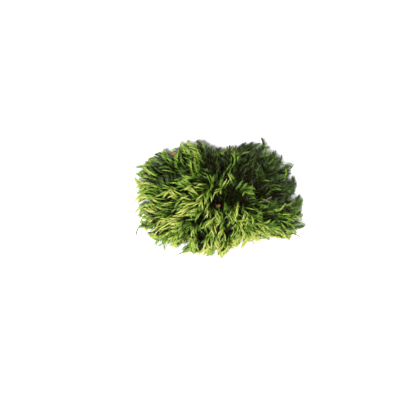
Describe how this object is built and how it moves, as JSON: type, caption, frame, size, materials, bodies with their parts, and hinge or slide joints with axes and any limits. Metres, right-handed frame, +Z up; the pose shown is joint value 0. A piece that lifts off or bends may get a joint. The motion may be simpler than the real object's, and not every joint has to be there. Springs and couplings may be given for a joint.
{
  "type": "moss clump",
  "caption": "Oval cushion of long-leaved moss, tufts of shoots drooping from a crown over a felted foot cut flat underneath.",
  "frame": {"origin": "centre of the clump's box, on the surface that its flat cut underside rests on", "axes": "+X to the clump's right along its length, +Y across it to its far side, +Z up"},
  "size_m": [0.17, 0.117, 0.0517],
  "materials": {
    "moss_shoots": "soft satin green leaves, yellow-green at the tips and brown at the foot",
    "rhizoid_felt": "matt dark brown felt of rhizoids, dead stems and humus",
    "rusty_scale": "dry orange-brown bud scale with a slight sheen",
    "dry_leaf": "matt peach-brown dead leaf",
    "bare_twig": "matt pale brown bark",
    "dead_stalk": "matt dark brown dead stem"
  },
  "bodies": {
    "root": {"rhizoid_felt": "rhizoid_felt", "tuft_crown": "moss_shoots", "tuft_east_inner": "moss_shoots", "tuft_east": "moss_shoots", "tuft_east_far": "moss_shoots", "tuft_northeast": "moss_shoots", "tuft_north": "moss_shoots", "tuft_northwest": "moss_shoots", "tuft_northwest_far": "moss_shoots", "tuft_west_arch": "moss_shoots", "tuft_west": "moss_shoots", "tuft_west_far": "moss_shoots", "tuft_southwest": "moss_shoots", "tuft_south": "moss_shoots", "tuft_south_inner": "moss_shoots", "tuft_southeast": "moss_shoots", "bud_scale": "rusty_scale", "leaf_scrap": "dry_leaf", "bare_twig": "bare_twig", "dead_stalk_southwest": "dead_stalk", "dead_stalk_south": "dead_stalk", "dead_stalk_southeast": "dead_stalk"}
  },
  "joints": []
}
